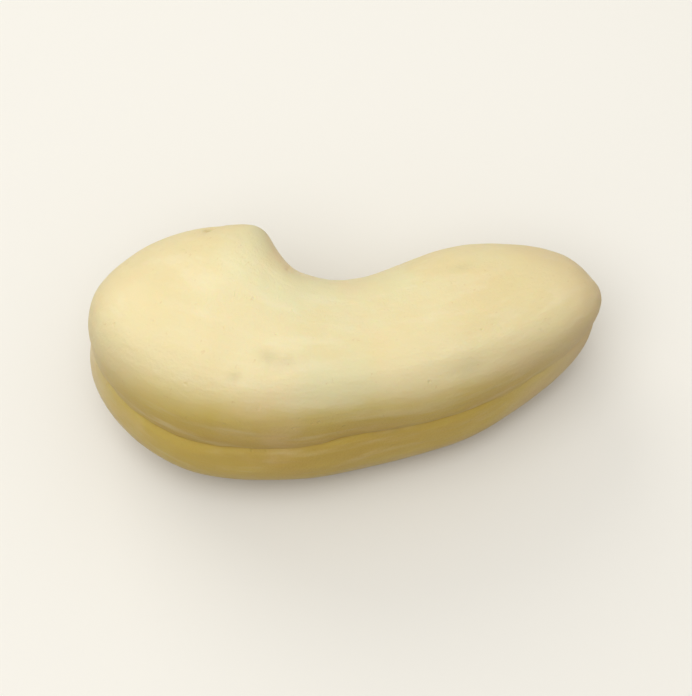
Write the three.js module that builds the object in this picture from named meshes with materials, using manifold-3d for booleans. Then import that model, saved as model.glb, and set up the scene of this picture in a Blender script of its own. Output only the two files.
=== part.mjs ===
// A peeled cashew kernel lying on one cheek, in millimetres, +Z up.
// Its crescent lies flat: the big lobe is at -X, the arm at +X and the notch opens to +Y.
// The origin is under the middle of its bounding box, on the surface that it lies on.

import * as THREE from 'three';
import { mergeVertices } from 'three/addons/utils/BufferGeometryUtils.js';
import Module from 'manifold-3d';

// Driving dimensions of the crescent

// The spine runs through the middle of the meat, from the lobe's end to the arm's tip.
const SPINE = {
  lobeEnd: [-12.0, 4.15],
  lobePull: [-5.8, -2.75],
  armPull: [1.95, -3.7],
  armTip: [13.5, 4.3],
};

// Half sizes of the cross-section: towards the belly, which is the notched side,
// towards the round back, and up to each cheek.
const LOBE = { belly: 7.15, back: 6.7, cheek: 6.1 };
const WAIST = { belly: 4.35, back: 4.55, cheek: 5.4 };
const ARM = { belly: 6.05, back: 4.2, cheek: 5.0 };

// Stations along the spine run from -1 at the lobe's end to 1 at the arm's tip.
const NOTCH_WALL = { from: -0.77, to: -0.12 };
const BACK_TAPER = { from: -0.6, to: 0.2 };
const ARM_TAPER = { from: 0.0, to: 0.8 };

// The lobe stands out a little more where it rolls over into the notch.
const LIP = { station: -0.57, halfLength: 0.25, height: 0.6 };

// How square the shape is: 2 would be an ellipse. The cheeks are flat, with a tighter shoulder
// on the back than on the belly.
const END_ROUNDNESS = { lobe: 2.95, arm: 2.95 };
const SHOULDER = { belly: 2.5, back: 3.3 };

// The seam between the two seed leaves runs round the whole edge, in a shallow trough.
const SEAM = { backDepth: 0.16, bellyDepth: 0.45, endDepth: 0.12, halfWidth: 0.42 };
const TROUGH = { depth: 0.18, halfWidth: 1.8 };
const SEAM_WANDER = { height: 0.35, halfTurns: 1.3, start: 0.7 };

// The belly of the big lobe is hollow on both sides of the seam, and the germ lies in it.
const HOLLOW = { station: -0.42, halfLength: 0.27, halfWidth: 2.0, depth: 0.75 };
const GERM = { station: -0.56, height: 0.55, halfWidth: 0.75, halfLength: 0.11 };

// Shallow dents pressed in while the kernel dried, each by its station and its angle round
// the spine: 0 is the belly, 90 the upper cheek, 180 the back and 270 the lower cheek.
// How far the skin is from a dent is measured on the kernel straightened out into a spindle.
const DENTS = [
  { station: -0.3, angle: 118, depth: 0.14, radius: 1.7 },
  { station: -0.52, angle: 128, depth: 0.1, radius: 1.5 },
  { station: 0.42, angle: 80, depth: 0.16, radius: 3.0 },
  { station: 0.3, angle: 205, depth: 0.1, radius: 2.4 },
  { station: -0.42, angle: 262, depth: 0.2, radius: 3.4 },
  { station: 0.62, angle: 238, depth: 0.15, radius: 2.4 },
];

const SPINDLE = { halfLength: 15, radius: 5.5 };

// The slow swell of the whole surface
const SWELL = { height: 0.07, wavelength: 8.5 };

// Relief is pressed towards the spine, at this share of the place's own station.
const PRESS_REACH = 0.8;

// How it lies: turned until the lowest point of the cheek is under the centre of mass,
// with a flat spot pressed on that point.
const ROLL_DEG = -4;
const PITCH_DEG = 3.7;
const FLAT_DEPTH = 0.15;

const STEPS_ALONG = 68;
const STEPS_AROUND = 52;
const SEAM_CROWDING = 0.65;

const IVORY = new THREE.Color(0.86, 0.8, 0.6);
const WAXY_ROUGHNESS = 0.55;

const { smoothstep, lerp, degToRad } = THREE.MathUtils;

const spine = new THREE.CubicBezierCurve(
  new THREE.Vector2(...SPINE.lobeEnd),
  new THREE.Vector2(...SPINE.lobePull),
  new THREE.Vector2(...SPINE.armPull),
  new THREE.Vector2(...SPINE.armTip),
);

// A half size at a station: from the lobe's to the waist's, and then on to the arm's.
function halfSize(side, station, change) {
  const toWaist = lerp(LOBE[side], WAIST[side], smoothstep(station, change.from, change.to));
  return lerp(toWaist, ARM[side], smoothstep(station, ARM_TAPER.from, ARM_TAPER.to));
}

function bell(distance, halfWidth) {
  return Math.exp(-((distance / halfWidth) ** 2));
}

// How far the section has closed towards an end: 1 at the middle and 0 at the poles.
function endClosure(station) {
  const roundness = station < 0 ? END_ROUNDNESS.lobe : END_ROUNDNESS.arm;
  return Math.max(0, 1 - Math.abs(station) ** roundness) ** (1 / roundness);
}

// The smooth body at a station and an angle round the spine.
function bodyPoint(station, angle) {
  const t = (station + 1) / 2;
  const centre = spine.getPoint(t);
  const ahead = spine.getTangent(t);
  const toBelly = Math.cos(angle);
  const toCheek = Math.sin(angle);
  const lip = LIP.height * bell(station - LIP.station, LIP.halfLength);
  const across = toBelly > 0
    ? halfSize('belly', station, NOTCH_WALL) + lip
    : halfSize('back', station, BACK_TAPER);
  const power = toBelly > 0 ? SHOULDER.belly : SHOULDER.back;
  const square = (Math.abs(toBelly) ** power + Math.abs(toCheek) ** power) ** (-1 / power);
  const size = square * endClosure(station);
  const out = across * toBelly * size;
  const up = halfSize('cheek', station, BACK_TAPER) * toCheek * size;
  return new THREE.Vector3(centre.x - ahead.y * out, centre.y + ahead.x * out, up);
}

// The same place on the kernel straightened out.
function spindlePoint(station, angle) {
  const radius = SPINDLE.radius * endClosure(station);
  const along = SPINDLE.halfLength * station;
  return new THREE.Vector3(along, radius * Math.cos(angle), radius * Math.sin(angle));
}

const dentPlaces = DENTS.map((dent) => spindlePoint(dent.station, degToRad(dent.angle)));

// The slow swell at a point, from three waves that run in different directions.
function swell(point) {
  const turn = (2 * Math.PI) / SWELL.wavelength;
  const waves = Math.sin(turn * (point.x + 0.4 * point.z))
    + Math.sin(turn * (0.9 * point.y - 0.5 * point.x) + 1)
    + Math.sin(turn * (1.1 * point.z + 0.3 * point.y) + 2);
  return SWELL.height * waves;
}

// How deep the surface lies below the smooth body.
function reliefDepth(point, station, angle) {
  const closure = endClosure(station);
  const side = Math.cos(angle) * closure;
  const alongEdge = smoothstep(Math.abs(side), 0, 0.6);
  const bellyShare = smoothstep(side, -0.3, 0.3);
  const turn = Math.PI * SEAM_WANDER.halfTurns * station + SEAM_WANDER.start;
  const wander = SEAM_WANDER.height * Math.sin(turn);
  const fromSeam = point.z - wander * closure;
  const edgeDepth = lerp(SEAM.backDepth, SEAM.bellyDepth, bellyShare);
  const seam = lerp(SEAM.endDepth, edgeDepth, alongEdge) * bell(fromSeam, SEAM.halfWidth);
  const trough = TROUGH.depth * alongEdge * bell(fromSeam, TROUGH.halfWidth);
  const hollow = HOLLOW.depth * bellyShare
    * bell(station - HOLLOW.station, HOLLOW.halfLength) * bell(fromSeam, HOLLOW.halfWidth);
  const germ = GERM.height * bellyShare
    * bell(station - GERM.station, GERM.halfLength) * bell(fromSeam, GERM.halfWidth);
  const place = spindlePoint(station, angle);
  const dents = DENTS.reduce(
    (sum, dent, i) => sum + dent.depth * bell(place.distanceTo(dentPlaces[i]), dent.radius), 0,
  );
  return seam + trough + hollow - germ + dents + swell(point);
}

// The point of the spine that a place on the surface is pressed towards, drawn in from the ends.
function pressTarget(station) {
  const centre = spine.getPoint((station * PRESS_REACH + 1) / 2);
  return new THREE.Vector3(centre.x, centre.y, 0);
}

// A unit sphere whose poles become the two ends, drawn out to the body and then pressed in.
function kernelGeometry() {
  const sphere = new THREE.SphereGeometry(1, STEPS_AROUND, STEPS_ALONG);
  sphere.deleteAttribute('normal');
  sphere.deleteAttribute('uv');
  const skin = mergeVertices(sphere, 1e-5);
  const position = skin.attributes.position;
  for (let i = 0; i < position.count; i += 1) {
    const station = THREE.MathUtils.clamp(position.getY(i), -1, 1);
    const even = Math.atan2(position.getX(i), position.getZ(i));
    const angle = even - SEAM_CROWDING * Math.sin(2 * even) / 2;
    const point = bodyPoint(station, angle);
    const inward = pressTarget(station).sub(point).normalize();
    point.addScaledVector(inward, reliefDepth(point, station, angle));
    position.setXYZ(i, point.x, point.y, point.z);
  }
  return skin;
}

// Lays the body on its lower cheek, a flat spot's depth below z = 0.
function layDown(geometry) {
  geometry.rotateX(degToRad(ROLL_DEG));
  geometry.rotateY(degToRad(PITCH_DEG));
  geometry.computeBoundingBox();
  const { min, max } = geometry.boundingBox;
  return geometry.translate(-(min.x + max.x) / 2, -(min.y + max.y) / 2, -min.z - FLAT_DEPTH);
}

const wasm = await Module();
wasm.setup();

function toSolid(geometry) {
  return new wasm.Manifold(new wasm.Mesh({
    numProp: 3,
    vertProperties: new Float32Array(geometry.attributes.position.array),
    triVerts: new Uint32Array(geometry.index.array),
  }));
}

function toGeometry(solid) {
  const mesh = solid.getMesh();
  const geometry = new THREE.BufferGeometry();
  geometry.setAttribute('position', new THREE.BufferAttribute(mesh.vertProperties, 3));
  geometry.setIndex(new THREE.BufferAttribute(mesh.triVerts, 1));
  geometry.computeVertexNormals();
  return geometry;
}

// Everything above the surface it lies on: what is below is cut off, which leaves the flat spot.
function cutFlatSpot(geometry) {
  const side = 60;
  const block = new THREE.BoxGeometry(side, side, side);
  block.translate(0, 0, side / 2);
  block.deleteAttribute('normal');
  block.deleteAttribute('uv');
  return toGeometry(toSolid(geometry).intersect(toSolid(mergeVertices(block))));
}

const kernel = new THREE.Mesh(
  cutFlatSpot(layDown(kernelGeometry())),
  new THREE.MeshStandardMaterial({ color: IVORY, roughness: WAXY_ROUGHNESS, metalness: 0 }),
);
kernel.name = 'kernel';

const group = new THREE.Group();
group.add(kernel);

export default group;
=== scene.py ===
"""A peeled cashew kernel lying on its cheek, on a pale floor in soft light. Lengths in metres."""

import math

import bpy
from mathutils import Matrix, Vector


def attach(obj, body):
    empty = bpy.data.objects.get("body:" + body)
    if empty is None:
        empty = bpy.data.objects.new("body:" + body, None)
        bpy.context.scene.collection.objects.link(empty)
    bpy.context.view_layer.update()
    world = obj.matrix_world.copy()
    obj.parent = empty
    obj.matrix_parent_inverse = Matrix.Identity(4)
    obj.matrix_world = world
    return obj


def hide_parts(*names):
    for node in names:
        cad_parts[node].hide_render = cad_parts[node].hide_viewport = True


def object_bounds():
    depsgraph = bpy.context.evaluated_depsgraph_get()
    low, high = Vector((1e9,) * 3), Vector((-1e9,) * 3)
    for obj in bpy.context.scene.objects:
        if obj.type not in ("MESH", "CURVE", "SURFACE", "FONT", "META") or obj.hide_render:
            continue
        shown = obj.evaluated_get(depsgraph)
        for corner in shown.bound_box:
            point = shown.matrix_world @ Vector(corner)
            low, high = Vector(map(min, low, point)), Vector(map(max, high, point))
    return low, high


MM = 0.001

# The kernel's sizes. A station is a place along its spine, from -1 at the lobe's end to 1 at the
# arm's tip. An angle goes round the spine: 0 is the notched belly, 90 the upper cheek, 180 the
# round back and 270 the lower cheek. A side is 1 at the belly's middle, -1 at the back's middle,
# and 0 on the cheeks and at both ends.

SPINE = {
    "Lobe End": (-12.0 * MM, 4.15 * MM, 0),
    "Lobe Pull": (-5.8 * MM, -2.75 * MM, 0),
    "Arm Pull": (1.95 * MM, -3.7 * MM, 0),
    "Arm Tip": (13.5 * MM, 4.3 * MM, 0),
}

# Half sizes of the cross-section, towards the belly, the back and each cheek. The lip is where the
# lobe stands out a little more as it rolls over into the notch.
HALF_SIZES = {
    "Lobe Belly": 7.15 * MM,
    "Lobe Back": 6.7 * MM,
    "Lobe Cheek": 6.1 * MM,
    "Waist Belly": 4.35 * MM,
    "Waist Back": 4.55 * MM,
    "Waist Cheek": 5.4 * MM,
    "Arm Belly": 6.05 * MM,
    "Arm Back": 4.2 * MM,
    "Arm Cheek": 5.0 * MM,
    "Lip Height": 0.6 * MM,
}
STATIONS = {
    "Notch Wall From": -0.77,
    "Notch Wall To": -0.12,
    "Back Taper From": -0.6,
    "Back Taper To": 0.2,
    "Arm Taper From": 0.0,
    "Arm Taper To": 0.8,
    "Lip Station": -0.57,
    "Lip Half Length": 0.25,
}

# How square the shape is: 2 would be an ellipse.
ROUNDNESS = {
    "Lobe Roundness": 2.95,
    "Arm Roundness": 2.95,
    "Belly Shoulder": 2.5,
    "Back Shoulder": 3.3,
}

# The seam between the two seed leaves runs round the whole edge, in a shallow trough. It nearly
# closes in places and opens to a gap in the notch, and one leaf stands proud of the other by a
# ledge that comes and goes.
SEAM = {
    "Edge Side": 0.6,
    "Belly Side": 0.3,
    "Seam Back Depth": 0.16 * MM,
    "Seam Belly Depth": 0.45 * MM,
    "Seam End Depth": 0.12 * MM,
    "Seam Half Width": 0.42 * MM,
    "Seam Ragged Height": 0.3 * MM,
    "Seam Ragged Width": 1.6 * MM,
    "Closed Share": 0.45,
    "Open Share": 1.1,
    "Trough Depth": 0.18 * MM,
    "Trough Half Width": 1.8 * MM,
    "Wander Height": 0.35 * MM,
    "Wander Half Turns": 1.3,
    "Wander Start": 0.7,
    "Ledge Height": 0.3 * MM,
    "Ledge Reach": 2.2 * MM,
    "Ledge Width": 4.5 * MM,
    "Ledge Half Step": 0.21 * MM,
    "Hairline Depth": 0.12 * MM,
    "Hairline Half Width": 0.11 * MM,
    "Gap Depth": 0.55 * MM,
    "Gap Half Width": 0.2 * MM,
    "Gap Station": 0.02,
    "Gap Half Length": 0.3,
}

# The lobe's belly is hollow on both sides of the seam. The germ lies in it, covers the seam there
# and has a sunken rim. Where the germ is goes from 0 to 1, and the rim and the cover are places
# on that slope.
HOLLOW = {
    "Hollow Station": -0.42,
    "Hollow Half Length": 0.27,
    "Hollow Half Width": 2.0 * MM,
    "Hollow Depth": 0.75 * MM,
    "Germ Station": -0.56,
    "Germ Half Length": 0.11,
    "Germ Half Width": 0.75 * MM,
    "Germ Height": 0.3 * MM,
    "Germ Rim": 0.4,
    "Germ Rim Half Width": 0.14,
    "Germ Rim Depth": 0.13 * MM,
    "Germ Cover From": 0.25,
    "Germ Cover To": 0.75,
    "Germ Cover Share": 0.85,
}
SKIN_RELIEF = {
    "Swell Height": 0.07 * MM,
    "Swell Wavelength": 8.5 * MM,
    "Lump Height": 0.1 * MM,
    "Lump Width": 4.5 * MM,
    "Furrow Depth": 0.1 * MM,
    "Furrow Width": 2.4 * MM,
    "Wrinkle Depth": 0.05 * MM,
    "Wrinkle Width": 0.8 * MM,
    "Pit Depth": 0.07 * MM,
    "Pit Spacing": 2.4 * MM,
    "Pit Radius": 0.6 * MM,
    "Pit Smallest Share": 0.3,
    "Pit Chance From": 0.68,
    "Pit Chance To": 0.76,
    "Pit Belly Loss": 0.12,
    "Fold Depth": 0.09 * MM,
    "Fold Width": 1.3 * MM,
    "Fold Station": -0.1,
    "Fold Half Length": 0.22,
    "Fold Side From": 0.2,
    "Fold Side To": 0.9,
}
LIE = {
    "Roll": math.radians(-4),
    "Pitch": math.radians(3.7),
    "Flat Depth": 0.15 * MM,
    "Press Reach": 0.8,
}
SIZES = {**SPINE, **HALF_SIZES, **STATIONS, **ROUNDNESS, **SEAM, **HOLLOW, **SKIN_RELIEF, **LIE}
MESH = {
    "Steps Along": 320,
    "Steps Around": 300,
}
SEAM_CROWDING = 0.65

# The kernel straightened out into a spindle, on which dents, marks, scars and grain are laid out
SPINDLE_HALF_LENGTH = 15.0 * MM
SPINDLE_RADIUS = 5.5 * MM

# Shallow dents pressed in while the kernel dried: station, angle, depth and radius
DENTS = [
    (-0.3, 118, 0.14 * MM, 1.7 * MM),
    (-0.52, 128, 0.1 * MM, 1.5 * MM),
    (0.42, 80, 0.16 * MM, 3.0 * MM),
    (0.3, 205, 0.1 * MM, 2.4 * MM),
    (-0.42, 262, 0.2 * MM, 3.4 * MM),
    (0.62, 238, 0.15 * MM, 2.4 * MM),
]

# Small marks and nicks: station, angle, depth, and half sizes along the kernel and across it.
# How ragged their edge is counts in their own half sizes.
MARKS = [
    (-0.147, 119, 0.17 * MM, 1.0 * MM, 0.42 * MM),
    (-0.215, 116, 0.08 * MM, 0.45 * MM, 0.3 * MM),
    (-0.3, 129, 0.06 * MM, 0.3 * MM, 0.28 * MM),
    (-0.8, 48, 0.34 * MM, 0.3 * MM, 0.42 * MM),
    (-0.24, 50, 0.1 * MM, 0.3 * MM, 0.3 * MM),
    (0.48, 134, 0.05 * MM, 0.9 * MM, 0.5 * MM),
    (0.1, 214, 0.08 * MM, 1.2 * MM, 0.3 * MM),
    (0.62, 62, 0.07 * MM, 0.8 * MM, 0.3 * MM),
    (-0.7, 236, 0.1 * MM, 0.7 * MM, 0.45 * MM),
    (0.2, 285, 0.09 * MM, 1.3 * MM, 0.4 * MM),
]
MARK_EDGE_WIDTH = 0.6 * MM
MARK_EDGE_RAGGED = 1.1

# Scars where a flake of meat has come off: station, angle, depth and radius. The floor of a scar
# reaches its full depth inside a share of the radius, and it is rough.
SCARS = [
    (-0.06, 350, 0.14 * MM, 0.75 * MM),
    (0.8, 300, 0.16 * MM, 1.3 * MM),
]
SCAR_EDGE_WIDTH = 1.1 * MM
SCAR_EDGE_RAGGED = 1.5 * MM
SCAR_FLOOR_WIDTH = 0.45 * MM
SCAR_FLOOR_ROUGH = 0.9
SCAR_FLOOR_LEVEL = 0.8
SCAR_FLOOR_SHARE = 0.4

# The slow swell of the whole surface is three waves, each with its direction and its start.
SWELL_WAVES = [
    ((1.0, 0.0, 0.4), 0.0),
    ((-0.5, 0.9, 0.0), 1.0),
    ((0.0, 0.3, 1.1), 2.0),
]

# Every random pattern's own seed, how fine its detail is, and its scale along the kernel and
# across it. A scale under 1 draws its blobs out that way.
PATTERNS = {
    "clouds": (1.0, 3.0, 1.0, 1.0),
    "streaks": (2.0, 4.0, 0.2, 1.0),
    "blush": (3.0, 4.0, 1.0, 1.0),
    "specks": (4.0, 2.0, 1.0, 1.0),
    "flecks": (5.0, 3.0, 1.0, 1.0),
    "dull patches": (6.0, 3.0, 1.0, 1.0),
    "powder": (7.0, 3.0, 1.0, 1.0),
    "fibres": (8.0, 3.0, 0.3, 1.0),
    "pores": (9.0, 1.0, 1.0, 1.0),
    "shaded back edge": (10.0, 3.0, 1.0, 1.0),
    "green": (11.0, 3.0, 1.0, 1.0),
    "mottle": (12.0, 4.0, 1.0, 1.0),
    "seam edge": (7.0, 2.0, 1.0, 1.0),
    "open seam": (8.0, 2.0, 1.0, 1.0),
    "scar edge": (9.0, 4.0, 1.0, 1.0),
    "scar floor": (10.0, 3.0, 1.0, 1.0),
    "furrows": (11.0, 2.0, 0.22, 1.0),
    "wrinkled": (12.0, 2.0, 1.0, 1.0),
    "wrinkles": (13.0, 3.0, 0.22, 1.0),
    "folds": (14.0, 3.0, 1.0, 0.5),
    "lumps": (15.0, 2.0, 1.0, 1.0),
    "ledge": (16.0, 2.0, 1.0, 0.3),
    "mark edge": (17.0, 3.0, 1.0, 1.0),
}
PIT_SEED = 7.0

# Patterns used as patches: the width of a blob, and the values where a patch begins and is full
PATCHES = {
    "open seam": (3.5 * MM, -0.12, 0.14),
    "wrinkled": (6.0 * MM, -0.12, 0.16),
    "clouds": (7.0 * MM, -0.14, 0.22),
    "green": (5.0 * MM, 0.0, 0.26),
    "streaks": (0.9 * MM, 0.0, 0.22),
    "blush": (4.0 * MM, 0.02, 0.3),
    "specks": (0.3 * MM, 0.17, 0.27),
    "flecks": (0.55 * MM, 0.2, 0.24),
    "pores": (0.42 * MM, 0.19, 0.32),
}

# How much painted shade each hidden place gets, and how hidden it counts for the skin flecks:
# # the depths that would count as 1, and a pit's own share
OPENING_DARK_DEPTH = 0.3 * MM
GROOVE_DARK_DEPTH = 1.4 * MM
PIT_DARKNESS = 0.2

IVORY = (0.85, 0.76, 0.475, 1)
BUTTER = (0.8, 0.66, 0.33, 1)
CREAM = (0.9, 0.83, 0.6, 1)
PEACH = (0.86, 0.68, 0.42, 1)
PISTACHIO = (0.8, 0.78, 0.51, 1)
OLIVE = (0.66, 0.58, 0.33, 1)
# Partly the back's own golden colour and partly painted shade
GOLD_AND_PAINTED_SHADE = (0.7, 0.55, 0.1, 1)
# Painted shade: the dark amber of the shaded underside
AMBER_PAINTED_SHADE = (0.52, 0.33, 0.035, 1)
# The tip's tan: partly own colour, partly painted shade where the arm's end rounds off
BISCUIT_TIP_AND_SHADE = (0.72, 0.55, 0.34, 1)
TAN = (0.66, 0.46, 0.22, 1)
# Painted shade in the crevices
CREVICE_SHADE_BROWN = (0.3, 0.16, 0.045, 1)
SKIN_BROWN = (0.2, 0.075, 0.03, 1)
CARD_WHITE = (0.88, 0.88, 0.87, 1)
WARM_BOUNCE = (0.28, 0.19, 0.035, 1)

# What is laid over the ivory, in this order: where it lies, its colour and how much of it shows
TINTS = [
    ("clouds", BUTTER, 0.45),
    ("green", PISTACHIO, 0.65),
    # The golden back is partly the meat's own colour and partly painted shade on the shoulder and
    # back
    ("golden back and painted shade", GOLD_AND_PAINTED_SHADE, 0.8),
    # The amber back is painted shade
    ("amber painted shade", AMBER_PAINTED_SHADE, 0.5),
    ("streaks", CREAM, 0.35),
    ("blush", PEACH, 0.5),
    ("notch wall", PEACH, 0.6),
    # The tip's tan is partly own colour and partly painted shade
    ("tip", BISCUIT_TIP_AND_SHADE, 0.45),
    ("bruise", OLIVE, 0.35),
    ("specks", TAN, 0.3),
    ("scar", CREAM, 0.3),
    # The crevice brown is painted shade
    ("painted crevice shade", CREVICE_SHADE_BROWN, 0.7),
    ("flecks", SKIN_BROWN, 0.7),
]

# Where those that aren't patches begin and are full: the backs by side, the tip by station, the
# notch wall by both, and the crevices and the flecks in them by how hidden the place is
# Where the golden back lies: partly own colour, partly painted shade
GOLDEN_AND_SHADED_BACK = (0.68, 0.92)
# Where the amber back lies: painted shade
AMBER_SHADED_BACK = (0.86, 1.04)
# The ragged edge of the golden colour and painted shade on the back
SHADED_BACK_EDGE_WIDTH = 3.0 * MM
SHADED_BACK_EDGE_RAGGED = 0.16
# Where the tip's tan lies: partly own colour, partly painted shade
TIP_TINT_AND_SHADE = (0.78, 0.97)
NOTCH_WALL_SIDE = (0.5, 0.8)
NOTCH_WALL_STATION = -0.27
NOTCH_WALL_HALF_LENGTH = 0.17
GREEN_WAIST_HALF_LENGTH = 0.4
GREEN_WAIST_SHARE = 0.14
MOTTLE_WIDTH = 1.5 * MM
TIP_MOTTLE = 0.12
NOTCH_WALL_MOTTLE = 0.4
# Where the painted crevice shade begins and is full, by how hidden the place is
CREVICE_SHADE_RANGE = (0.15, 1.4)
FLECK_DARKNESS = (0.1, 0.5)

MEAT_ROUGHNESS = 0.52
DULL_PATCH_WIDTH = 1.8 * MM
DULL_PATCH_ROUGHNESS = 0.22
SCAR_ROUGHNESS = 0.16
CREVICE_ROUGHNESS = 0.15

# The finest relief, which only the light shows
POWDER_WIDTH = 0.16 * MM
POWDER_HEIGHT = 0.025 * MM
FIBRE_WIDTH = 0.35 * MM
FIBRE_HEIGHT = 0.045 * MM
PORE_DEPTH = 0.03 * MM

WAXY_SKIN = {
    "Specular IOR Level": 0.42,
    "Subsurface Weight": 0.35,
    "Subsurface Radius": (1.0, 0.62, 0.28),
    "Subsurface Scale": 1.1 * MM,
    "Sheen Weight": 0.08,
    "Sheen Roughness": 0.5,
}
MATT_CARD = {
    "Roughness": 0.8,
    "Specular IOR Level": 0.2,
}

# The lamps: place, width, power and colour
LAMPS = {
    "key": ((-0.08, -0.1, 0.345), 0.36, 0.54, (1.0, 0.985, 0.95)),
    "rim": ((-0.18, 0.28, 0.2), 0.3, 0.4, (1.0, 0.96, 0.84)),
}
SURROUND = {
    "Color": (1.0, 0.97, 0.9, 1),
    "Strength": 0.72,
}
CAMERA_ELEVATION = math.radians(64)
CAMERA_DISTANCE = 0.158
CAMERA_LENS = 150

CARD_RADIUS = 0.5
CARD_SWEEP_RADIUS = 0.4
CARD_SWEEP_STEPS = 16
CARD_SEGMENTS = 96


# Formulas written as nodes

class Field:
    """A number or vector that changes over the surface. Arithmetic on it adds nodes to its tree."""

    def __init__(self, tree, socket):
        self.tree = tree
        self.socket = socket
        self.is_vector = socket.type == "VECTOR"

    def node(self, kind, operation, *values):
        made = self.tree.nodes.new(kind)
        made.operation = operation
        for socket, value in zip(made.inputs, (self, *values)):
            feed(self.tree, socket, value)
        return made

    def number(self, operation, *values):
        return Field(self.tree, self.node("ShaderNodeMath", operation, *values).outputs[0])

    def vector(self, operation, *values):
        return Field(self.tree, self.node("ShaderNodeVectorMath", operation, *values).outputs[0])

    def measure(self, operation, *values):
        """A number worked out from a vector."""
        made = self.node("ShaderNodeVectorMath", operation, *values)
        return Field(self.tree, made.outputs["Value"])

    def __add__(self, other):
        return self.vector("ADD", other) if self.is_vector else self.number("ADD", other)

    def __sub__(self, other):
        return self.vector("SUBTRACT", other) if self.is_vector else self.number("SUBTRACT", other)

    def __mul__(self, other):
        if not self.is_vector:
            return self.number("MULTIPLY", other)
        scaled = self.node("ShaderNodeVectorMath", "SCALE")
        feed(self.tree, scaled.inputs["Scale"], other)
        return Field(self.tree, scaled.outputs[0])

    def __truediv__(self, other):
        return self.number("DIVIDE", other)

    def __pow__(self, other):
        return self.number("POWER", other)

    def __abs__(self):
        return self.number("ABSOLUTE")

    def __neg__(self):
        return self * -1

    __radd__ = __add__
    __rmul__ = __mul__

    def __rsub__(self, other):
        return -self + other

    def __rtruediv__(self, other):
        return self ** -1 * other

    def at_least(self, other):
        return self.number("MAXIMUM", other)

    def at_most(self, other):
        return self.number("MINIMUM", other)

    def times_each(self, other):
        return self.vector("MULTIPLY", other)

    def length(self):
        return self.measure("LENGTH")

    def dot(self, other):
        return self.measure("DOT_PRODUCT", other)

    def parts(self):
        split = add_node(self.tree, "ShaderNodeSeparateXYZ", {"Vector": self})
        return [Field(self.tree, socket) for socket in split.outputs]


def feed(tree, socket, value):
    """Links a field to an input, or sets the input's own value."""
    if isinstance(value, Field):
        tree.links.new(value.socket, socket)
    elif isinstance(value, bpy.types.NodeSocket):
        tree.links.new(value, socket)
    else:
        socket.default_value = value


def add_node(tree, kind, inputs=None, **settings):
    made = tree.nodes.new(kind)
    for name, value in settings.items():
        setattr(made, name, value)
    for name, value in (inputs or {}).items():
        feed(tree, made.inputs[name], value)
    return made


def combine(x, y, z):
    tree = next(part.tree for part in (x, y, z) if isinstance(part, Field))
    return Field(tree, add_node(tree, "ShaderNodeCombineXYZ", {"X": x, "Y": y, "Z": z}).outputs[0])


def smoothstep(value, low, high):
    """0 below low, 1 above high and a smooth step between them."""
    step = add_node(
        value.tree, "ShaderNodeMapRange", {"Value": value, "From Min": low, "From Max": high},
        interpolation_type="SMOOTHSTEP",
    )
    return Field(value.tree, step.outputs["Result"])


def blend(low, high, share):
    """low where share is 0 and high where it is 1."""
    return share * (high - low) + low


def bell(distance, half_width):
    """1 where distance is 0, falling away smoothly on both sides."""
    ratio = distance / half_width
    return (ratio * ratio * -1).number("EXPONENT")


def noise(grain, width, pattern):
    """A pattern's smooth random values from about -0.5 to 0.5, in blobs of the given width."""
    seed, detail, along, across = PATTERNS[pattern]
    if (along, across) != (1.0, 1.0):
        grain = grain.times_each((along, across, across))
    made = add_node(
        grain.tree, "ShaderNodeTexNoise",
        {"Vector": grain, "W": seed, "Scale": 1 / width, "Detail": detail},
        noise_dimensions="4D",
    )
    return Field(grain.tree, made.outputs[0]) - 0.5


def relief(grain, width, height, pattern):
    """A pattern's bumps and hollows, up to about the given height each way."""
    return noise(grain, width, pattern) * height * 2


def patches(grain, pattern, favour=0.0):
    """1 in a pattern's patches and 0 between them. There are more of them where favour is high."""
    width, begins, full = PATCHES[pattern]
    return smoothstep(noise(grain, width, pattern) + favour, begins, full)


# The kernel's shape

def half_size(size, side, station, change):
    """A half size at a station: from the lobe's to the waist's, and then on to the arm's."""
    to_waist = smoothstep(station, size[f"{change} From"], size[f"{change} To"])
    to_arm = smoothstep(station, size["Arm Taper From"], size["Arm Taper To"])
    lobe_to_waist = blend(size[f"Lobe {side}"], size[f"Waist {side}"], to_waist)
    return blend(lobe_to_waist, size[f"Arm {side}"], to_arm)


def end_closure(size, station):
    """How far the section has closed towards an end: 1 at the middle and 0 at the poles."""
    on_arm = station.number("GREATER_THAN", 0.0)
    roundness = blend(size["Lobe Roundness"], size["Arm Roundness"], on_arm)
    return (1 - abs(station) ** roundness).at_least(0.0) ** (1 / roundness)


def spine_point(size, station):
    """The place on the spine at a station."""
    start, lobe_pull, arm_pull, tip = (size[name] for name in SPINE)
    t = (station + 1) * 0.5
    s = 1 - t
    lobe_half = start * (s * s * s) + lobe_pull * (s * s * t * 3)
    return lobe_half + arm_pull * (s * t * t * 3) + tip * (t * t * t)


def spine_heading(size, station):
    """The spine's own direction at a station, towards the arm."""
    start, lobe_pull, arm_pull, tip = (size[name] for name in SPINE)
    t = (station + 1) * 0.5
    s = 1 - t
    lobe_half = (lobe_pull - start) * (s * s) + (arm_pull - lobe_pull) * (s * t * 2)
    return (lobe_half + (tip - arm_pull) * (t * t)).vector("NORMALIZE")


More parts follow.
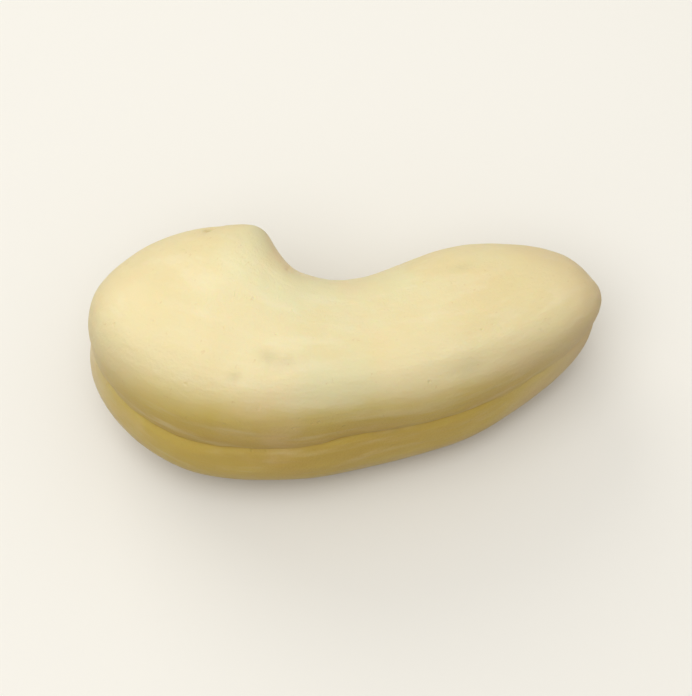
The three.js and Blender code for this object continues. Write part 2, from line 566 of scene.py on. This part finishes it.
def smooth_body(size, station, angle, closure):
    """The kernel's surface before anything is pressed into it."""
    to_belly = angle.number("COSINE")
    to_cheek = angle.number("SINE")
    on_belly = to_belly.number("GREATER_THAN", 0.0)
    lip = bell(station - size["Lip Station"], size["Lip Half Length"]) * size["Lip Height"]
    across = blend(
        half_size(size, "Back", station, "Back Taper"),
        half_size(size, "Belly", station, "Notch Wall") + lip,
        on_belly,
    )
    power = blend(size["Back Shoulder"], size["Belly Shoulder"], on_belly)
    square = (abs(to_belly) ** power + abs(to_cheek) ** power) ** (-1 / power)
    out = across * to_belly * square * closure
    up = half_size(size, "Cheek", station, "Back Taper") * to_cheek * square * closure
    ahead_x, ahead_y, _ = spine_heading(size, station).parts()
    centre_x, centre_y, _ = spine_point(size, station).parts()
    return combine(centre_x - ahead_y * out, centre_y + ahead_x * out, up)


def straightened(station, angle, closure):
    """The same place on the kernel straightened out, where the pattern of its skin is laid out."""
    radius = closure * SPINDLE_RADIUS
    return combine(
        station * SPINDLE_HALF_LENGTH,
        angle.number("COSINE") * radius,
        angle.number("SINE") * radius,
    )


def straight_spot(station, degrees):
    """The straightened place of one named spot, as plain numbers."""
    roundness = ROUNDNESS["Lobe Roundness" if station < 0 else "Arm Roundness"]
    radius = SPINDLE_RADIUS * (1 - abs(station) ** roundness) ** (1 / roundness)
    angle = math.radians(degrees)
    along = station * SPINDLE_HALF_LENGTH
    return Vector((along, radius * math.cos(angle), radius * math.sin(angle)))


def seam_relief(size, station, place, side, closure, grain):
    """The groove between the seed leaves, its hairline, and the gap where it opens in the notch."""
    _, _, height = place.parts()
    along_edge = smoothstep(abs(side), 0.0, size["Edge Side"])
    belly_share = smoothstep(side, -size["Belly Side"], size["Belly Side"])
    turn = station * size["Wander Half Turns"] * math.pi + size["Wander Start"]
    wander = turn.number("SINE") * size["Wander Height"]
    from_seam = height - wander * closure
    uneven = noise(grain, size["Seam Ragged Width"], "seam edge") * size["Seam Ragged Height"]
    ragged = from_seam + uneven

    open_share = patches(grain, "open seam")
    edge_depth = blend(size["Seam Back Depth"], size["Seam Belly Depth"], belly_share)
    groove = (
        blend(size["Seam End Depth"], edge_depth, along_edge)
        * bell(ragged, size["Seam Half Width"])
        * blend(size["Closed Share"], size["Open Share"], open_share)
    )
    trough = size["Trough Depth"] * along_edge * bell(from_seam, size["Trough Half Width"])
    proud = noise(grain, size["Ledge Width"], "ledge") * size["Ledge Height"]
    upper_leaf = smoothstep(ragged, -size["Ledge Half Step"], size["Ledge Half Step"]) - 0.5
    ledge = upper_leaf * bell(from_seam, size["Ledge Reach"]) * proud

    hairline = bell(ragged, size["Hairline Half Width"]) * size["Hairline Depth"] * open_share
    gap_share = bell(station - size["Gap Station"], size["Gap Half Length"]) * belly_share
    gap = bell(ragged, size["Gap Half Width"]) * size["Gap Depth"] * gap_share
    return from_seam, belly_share, groove + trough + ledge, hairline + gap


def hollow_relief(size, station, from_seam, belly_share):
    """The hollow in the lobe's belly with the germ in it, and where the germ is, from 0 to 1."""
    hollow = (
        bell(station - size["Hollow Station"], size["Hollow Half Length"])
        * bell(from_seam, size["Hollow Half Width"]) * size["Hollow Depth"]
    )
    germ = (
        bell(station - size["Germ Station"], size["Germ Half Length"])
        * bell(from_seam, size["Germ Half Width"]) * belly_share
    )
    rim = bell(germ - size["Germ Rim"], size["Germ Rim Half Width"]) * size["Germ Rim Depth"]
    return hollow * belly_share - germ * size["Germ Height"] + rim, germ


def swell_relief(size, place):
    """The slow swell of the whole surface."""
    turn = 2 * math.pi / size["Swell Wavelength"]
    waves = 0
    for direction, start in SWELL_WAVES:
        waves = (place.dot(direction) * turn + start).number("SINE") + waves
    return waves * size["Swell Height"]


def dent_relief(grain):
    """All the shallow dents together."""
    depth = 0
    for station, degrees, dent_depth, radius in DENTS:
        distance = (grain - straight_spot(station, degrees)).length()
        depth = bell(distance, radius) * dent_depth + depth
    return depth


def mark_relief(grain):
    """The small marks and nicks: how deep they are, and where they are from 0 to 1."""
    uneven = noise(grain, MARK_EDGE_WIDTH, "mark edge") * MARK_EDGE_RAGGED
    depth = 0
    bruise = 0
    for station, degrees, mark_depth, half_length, half_width in MARKS:
        own_size = (1 / half_length, 1 / half_width, 1 / half_width)
        offset = (grain - straight_spot(station, degrees)).times_each(own_size)
        inside = bell(offset.length() + uneven, 1.0)
        depth = inside * mark_depth + depth
        bruise = inside + bruise
    return depth, bruise


def scar_relief(grain):
    """The scars of lost flakes: how deep they are, and where they are from 0 to 1."""
    torn_edge = noise(grain, SCAR_EDGE_WIDTH, "scar edge") * SCAR_EDGE_RAGGED
    rough_floor = noise(grain, SCAR_FLOOR_WIDTH, "scar floor") * SCAR_FLOOR_ROUGH + SCAR_FLOOR_LEVEL
    depth = 0
    scar = 0
    for station, degrees, scar_depth, radius in SCARS:
        distance = (grain - straight_spot(station, degrees)).length() + torn_edge
        inside = 1 - smoothstep(distance, radius * SCAR_FLOOR_SHARE, radius)
        depth = inside * scar_depth * rough_floor + depth
        scar = inside + scar
    return depth, scar


def pit_relief(size, grain, side):
    """Scattered pits, fewer on the belly: how deep they are, and where they are from 0 to 1."""
    cells = add_node(
        grain.tree, "ShaderNodeTexVoronoi",
        {"Vector": grain, "W": PIT_SEED, "Scale": 1 / size["Pit Spacing"]},
        voronoi_dimensions="4D",
    )
    chance, vigour, _ = Field(grain.tree, cells.outputs["Color"]).parts()
    away = Field(grain.tree, cells.outputs["Distance"]) * size["Pit Spacing"]
    radius = blend(size["Pit Smallest Share"], 1.0, vigour) * size["Pit Radius"]
    likely = chance - side * size["Pit Belly Loss"]
    pitted = smoothstep(likely, size["Pit Chance From"], size["Pit Chance To"])
    pits = (1 - smoothstep(away / radius, 0.0, 1.0)) * pitted * vigour
    return pits * size["Pit Depth"], pits


def skin_relief(size, grain, station, side):
    """Lumps, furrows and fine wrinkles along the kernel, and folds across the notch."""
    lumps = relief(grain, size["Lump Width"], size["Lump Height"], "lumps")
    furrows = relief(grain, size["Furrow Width"], size["Furrow Depth"], "furrows")
    wrinkles = relief(grain, size["Wrinkle Width"], size["Wrinkle Depth"], "wrinkles")
    folds = relief(grain, size["Fold Width"], size["Fold Depth"], "folds")
    near_notch = bell(station - size["Fold Station"], size["Fold Half Length"])
    on_belly = smoothstep(side, size["Fold Side From"], size["Fold Side To"])
    return lumps + furrows + wrinkles * patches(grain, "wrinkled") + folds * near_notch * on_belly


def rotate(place, axis, angle):
    turned = add_node(
        place.tree, "ShaderNodeVectorRotate", {"Vector": place, "Angle": angle},
        rotation_type=axis,
    )
    return Field(place.tree, turned.outputs[0])


def surface_rule(size, station, angle):
    """Where a place on the ball ends up on the kernel, and what the meat's colours need there."""
    closure = end_closure(size, station)
    side = angle.number("COSINE") * closure
    place = smooth_body(size, station, angle, closure)
    grain = straightened(station, angle, closure)

    from_seam, belly_share, groove, opening = seam_relief(
        size, station, place, side, closure, grain,
    )
    hollow, germ = hollow_relief(size, station, from_seam, belly_share)
    covered = smoothstep(germ, size["Germ Cover From"], size["Germ Cover To"])
    uncovered = 1 - covered * size["Germ Cover Share"]
    groove = groove * uncovered
    opening = opening * uncovered
    marks, bruise = mark_relief(grain)
    scars, scar = scar_relief(grain)
    pits, pitted = pit_relief(size, grain, side)
    pressed_in = dent_relief(grain) + swell_relief(size, place) + marks + scars
    skin = skin_relief(size, grain, station, side)
    depth = groove + opening + hollow + pressed_in + skin + pits

    target = spine_point(size, station * size["Press Reach"])
    pressed = place + (target - place).vector("NORMALIZE") * depth
    lying = rotate(rotate(pressed, "X_AXIS", size["Roll"]), "Y_AXIS", size["Pitch"])
    # How hidden a place is: it sets the painted shade in the crevices and where skin flecks lie
    cavity = opening / OPENING_DARK_DEPTH + groove / GROOVE_DARK_DEPTH + pitted * PIT_DARKNESS
    return lying, {
        "grain": (grain, "FLOAT_VECTOR", "POINT"),
        "cavity": (cavity, "FLOAT", "POINT"),
        "scar": (scar, "FLOAT", "POINT"),
        "bruise": (bruise + germ, "FLOAT", "POINT"),
        "side": (side, "FLOAT", "POINT"),
    }


def lay_down(tree, geometry, flat_depth):
    """Centres the kernel on the floor and presses its lowest place flat."""
    box = add_node(tree, "GeometryNodeBoundBox", {"Geometry": geometry})
    low_x, low_y, low_z = Field(tree, box.outputs["Min"]).parts()
    high_x, high_y, _ = Field(tree, box.outputs["Max"]).parts()
    shift = combine((low_x + high_x) * -0.5, (low_y + high_y) * -0.5, -low_z - flat_depth)
    here = Field(tree, tree.nodes.new("GeometryNodeInputPosition").outputs[0])
    x, y, z = (here + shift).parts()
    rested = add_node(
        tree, "GeometryNodeSetPosition",
        {"Geometry": geometry, "Position": combine(x, y, z.at_least(0.0))},
    )
    return rested.outputs[0]


def kernel_rule():
    """The geometry tree that draws a ball out to the kernel, presses its relief in and rests it."""
    tree = bpy.data.node_groups.new("cashew_kernel_rule", "GeometryNodeTree")
    tree.interface.new_socket("Kernel", in_out="OUTPUT", socket_type="NodeSocketGeometry")
    kinds = {int: "NodeSocketInt", float: "NodeSocketFloat", tuple: "NodeSocketVector"}
    for name, value in {**SIZES, **MESH}.items():
        socket = tree.interface.new_socket(name, in_out="INPUT", socket_type=kinds[type(value)])
        socket.default_value = value
    tree.interface.new_socket("Meat", in_out="INPUT", socket_type="NodeSocketMaterial")
    given = tree.nodes.new("NodeGroupInput")
    size = {name: Field(tree, given.outputs[name]) for name in SIZES}

    steps = {"Segments": given.outputs["Steps Around"], "Rings": given.outputs["Steps Along"]}
    ball = add_node(tree, "GeometryNodeMeshUVSphere", {**steps, "Radius": 1.0})
    ball_place = Field(tree, tree.nodes.new("GeometryNodeInputPosition").outputs[0])
    ball_x, ball_y, ball_z = ball_place.parts()
    station = ball_z.at_least(-1.0).at_most(1.0)
    even = ball_y.number("ARCTAN2", ball_x)
    angle = even - (even * 2).number("SINE") * (SEAM_CROWDING / 2)
    lying, kept = surface_rule(size, station, angle)
    kept["UVMap"] = (ball.outputs["UV Map"], "FLOAT2", "CORNER")

    geometry = ball.outputs["Mesh"]
    for name, (value, kind, domain) in kept.items():
        store = add_node(
            tree, "GeometryNodeStoreNamedAttribute",
            {"Geometry": geometry, "Name": name, "Value": value},
            data_type=kind, domain=domain,
        )
        geometry = store.outputs[0]
    drawn = add_node(tree, "GeometryNodeSetPosition", {"Geometry": geometry, "Position": lying})
    rested = lay_down(tree, drawn.outputs[0], size["Flat Depth"])
    smooth = add_node(tree, "GeometryNodeSetShadeSmooth", {"Geometry": rested})
    real = add_node(tree, "GeometryNodeRealizeInstances", {"Geometry": smooth.outputs[0]})
    dressed = add_node(
        tree, "GeometryNodeSetMaterial",
        {"Geometry": real.outputs[0], "Material": given.outputs["Meat"]},
    )
    out = tree.nodes.new("NodeGroupOutput")
    tree.links.new(dressed.outputs[0], out.inputs[0])
    return tree


def make_kernel(meat):
    """The finished kernel as a plain mesh."""
    tree = kernel_rule()
    maker = bpy.data.objects.new("kernel_maker", bpy.data.meshes.new("kernel_maker"))
    bpy.context.scene.collection.objects.link(maker)
    rule = maker.modifiers.new("rule", "NODES")
    rule.node_group = tree
    values = {**SIZES, **MESH, "Meat": meat}
    for item in tree.interface.items_tree:
        if item.in_out == "INPUT":
            rule[item.identifier] = values[item.name]
    seen = maker.evaluated_get(bpy.context.evaluated_depsgraph_get())
    mesh = bpy.data.meshes.new_from_object(seen)
    mesh.name = "cashew_kernel"
    bpy.data.objects.remove(maker)
    kernel = bpy.data.objects.new("cashew_kernel", mesh)
    bpy.context.scene.collection.objects.link(kernel)
    return kernel


# Materials

def new_material(name, settings):
    material = bpy.data.materials.new(name)
    material.use_nodes = True
    tree = material.node_tree
    shader = tree.nodes["Principled BSDF"]
    for socket, value in settings.items():
        shader.inputs[socket].default_value = value
    return material, tree, shader


def mix_colour(tree, base, over, share):
    """over laid on base where share is 1."""
    made = add_node(tree, "ShaderNodeMix", data_type="RGBA")
    sockets = {socket.identifier: socket for socket in made.inputs}
    feed(tree, sockets["Factor_Float"], share)
    feed(tree, sockets["A_Color"], base)
    feed(tree, sockets["B_Color"], over)
    return next(socket for socket in made.outputs if socket.identifier == "Result_Color")


def stored(tree, name, output):
    """A value that the kernel's mesh carries."""
    return Field(tree, add_node(tree, "ShaderNodeAttribute", attribute_name=name).outputs[output])


def tinted_places(tree, grain):
    """Where each tint lies, from 0 to 1."""
    cavity = stored(tree, "cavity", "Fac")
    side = stored(tree, "side", "Fac")
    along, _, _ = grain.parts()
    station = along / SPINDLE_HALF_LENGTH
    mottle = noise(grain, MOTTLE_WIDTH, "mottle")
    # Towards the back's middle, with a ragged edge: where the golden colour and the painted shade
    # lie
    to_shaded_back = -side + noise(grain, SHADED_BACK_EDGE_WIDTH, "shaded back edge") * SHADED_BACK_EDGE_RAGGED
    near_notch = bell(station - NOTCH_WALL_STATION, NOTCH_WALL_HALF_LENGTH)
    on_belly = smoothstep(side + mottle * NOTCH_WALL_MOTTLE, *NOTCH_WALL_SIDE)
    green_waist = bell(station, GREEN_WAIST_HALF_LENGTH) * GREEN_WAIST_SHARE
    places = {name: patches(grain, name) for name in ("clouds", "streaks", "blush", "specks")}
    return {
        **places,
        "green": patches(grain, "green", green_waist),
        # The golden back: partly own colour, partly painted shade
        "golden back and painted shade": smoothstep(to_shaded_back, *GOLDEN_AND_SHADED_BACK),
        # The amber back: painted shade
        "amber painted shade": smoothstep(to_shaded_back, *AMBER_SHADED_BACK),
        "notch wall": near_notch * on_belly,
        # The tip's tan: partly own colour, partly painted shade
        "tip": smoothstep(station + mottle * TIP_MOTTLE, *TIP_TINT_AND_SHADE),
        "bruise": stored(tree, "bruise", "Fac"),
        "scar": stored(tree, "scar", "Fac"),
        # Painted shade in the crevices
        "painted crevice shade": smoothstep(cavity, *CREVICE_SHADE_RANGE),
        "flecks": patches(grain, "flecks") * smoothstep(cavity, *FLECK_DARKNESS),
    }


def make_meat():
    """Dry ivory nut meat: butter-yellow clouds, cream streaks, a back that is golden partly in its
    own colour and partly as painted shade, painted amber shade on the back's middle, painted brown
    shade in the crevices, a tan tip that is partly painted shade, and a soft waxy skin."""
    material, tree, shader = new_material("ivory_nut_meat", WAXY_SKIN)
    grain = stored(tree, "grain", "Vector")
    places = tinted_places(tree, grain)
    colour = IVORY
    for name, tint, most in TINTS:
        colour = mix_colour(tree, colour, tint, places[name] * most)
    feed(tree, shader.inputs["Base Color"], colour)

    patchy = noise(grain, DULL_PATCH_WIDTH, "dull patches") * DULL_PATCH_ROUGHNESS
    worn = places["scar"] * SCAR_ROUGHNESS
    hidden = places["painted crevice shade"] * CREVICE_ROUGHNESS
    feed(tree, shader.inputs["Roughness"], patchy + MEAT_ROUGHNESS + worn + hidden)

    powder = noise(grain, POWDER_WIDTH, "powder") * POWDER_HEIGHT
    fibres = noise(grain, FIBRE_WIDTH, "fibres") * FIBRE_HEIGHT
    pores = patches(grain, "pores") * -PORE_DEPTH
    bump = add_node(
        tree, "ShaderNodeBump",
        {"Strength": 1.0, "Distance": 1.0, "Height": powder + fibres + pores},
    )
    feed(tree, shader.inputs["Normal"], bump.outputs[0])
    return material


def make_card_paint():
    """Matt white card. The light that it throws back up on the kernel is dim and warm."""
    material, tree, shader = new_material("white_card", MATT_CARD)
    bounced = add_node(tree, "ShaderNodeLightPath").outputs["Is Diffuse Ray"]
    feed(tree, shader.inputs["Base Color"], mix_colour(tree, CARD_WHITE, WARM_BOUNCE, bounced))
    return material


# The studio

def make_floor(paint):
    """A round white card whose rim sweeps up all round, so no edge of it shows."""
    profile = [(CARD_RADIUS, 0.0)]
    for step in range(1, CARD_SWEEP_STEPS + 1):
        turn = math.pi / 2 * step / CARD_SWEEP_STEPS
        radius = CARD_RADIUS + CARD_SWEEP_RADIUS * math.sin(turn)
        profile.append((radius, CARD_SWEEP_RADIUS * (1 - math.cos(turn))))
    corners = [(0.0, 0.0, 0.0)]
    for radius, height in profile:
        for step in range(CARD_SEGMENTS):
            turn = 2 * math.pi * step / CARD_SEGMENTS
            corners.append((radius * math.cos(turn), radius * math.sin(turn), height))
    faces = []
    for step in range(CARD_SEGMENTS):
        after = (step + 1) % CARD_SEGMENTS
        faces.append((0, 1 + step, 1 + after))
        for ring in range(len(profile) - 1):
            inner = 1 + ring * CARD_SEGMENTS
            outer = inner + CARD_SEGMENTS
            faces.append((inner + step, outer + step, outer + after, inner + after))
    mesh = bpy.data.meshes.new("floor_card")
    mesh.from_pydata(corners, [], faces)
    mesh.materials.append(paint)
    mesh.shade_smooth()
    floor = bpy.data.objects.new("floor_card", mesh)
    bpy.context.scene.collection.objects.link(floor)


def aim(thing, place, target):
    thing.location = place
    thing.rotation_euler = (Vector(target) - Vector(place)).to_track_quat("-Z", "Y").to_euler()


def make_light(name, place, width, power, colour, target):
    lamp = bpy.data.lights.new(name, "AREA")
    lamp.shape = "DISK"
    lamp.size = width
    lamp.energy = power
    lamp.color = colour
    light = bpy.data.objects.new(name, lamp)
    light.visible_camera = False
    bpy.context.scene.collection.objects.link(light)
    aim(light, place, target)


def make_studio(middle):
    """A broad key from above at the front left, a warm rim light from behind, and a bright even
    surround."""
    for name, (place, width, power, colour) in LAMPS.items():
        make_light(name, place, width, power, colour, middle)
    world = bpy.data.worlds.new("surround")
    world.use_nodes = True
    for name, value in SURROUND.items():
        world.node_tree.nodes["Background"].inputs[name].default_value = value
    bpy.context.scene.world = world
    bpy.context.scene.view_settings.view_transform = "Standard"


def make_camera(middle):
    """A long lens that looks down on the cheek, with the lobe at the left and the notch on top."""
    camera = bpy.data.objects.new("camera", bpy.data.cameras.new("camera"))
    camera.data.lens = CAMERA_LENS
    camera.data.clip_start = 0.01
    bpy.context.scene.collection.objects.link(camera)
    back = Vector((0, -math.cos(CAMERA_ELEVATION), math.sin(CAMERA_ELEVATION)))
    aim(camera, middle + back * CAMERA_DISTANCE, middle)
    bpy.context.scene.camera = camera


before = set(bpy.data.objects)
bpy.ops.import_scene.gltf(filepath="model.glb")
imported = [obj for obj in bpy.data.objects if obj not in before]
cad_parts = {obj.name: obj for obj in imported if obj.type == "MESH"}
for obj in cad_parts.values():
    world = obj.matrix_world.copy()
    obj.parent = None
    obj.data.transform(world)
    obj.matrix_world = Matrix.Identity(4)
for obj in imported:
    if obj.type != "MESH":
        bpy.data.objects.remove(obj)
cad_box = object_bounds()
middle = (cad_box[0] + cad_box[1]) / 2

make_camera(middle)
make_studio(middle)
make_floor(make_card_paint())

kernel = make_kernel(make_meat())
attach(kernel, "root")
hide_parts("kernel")
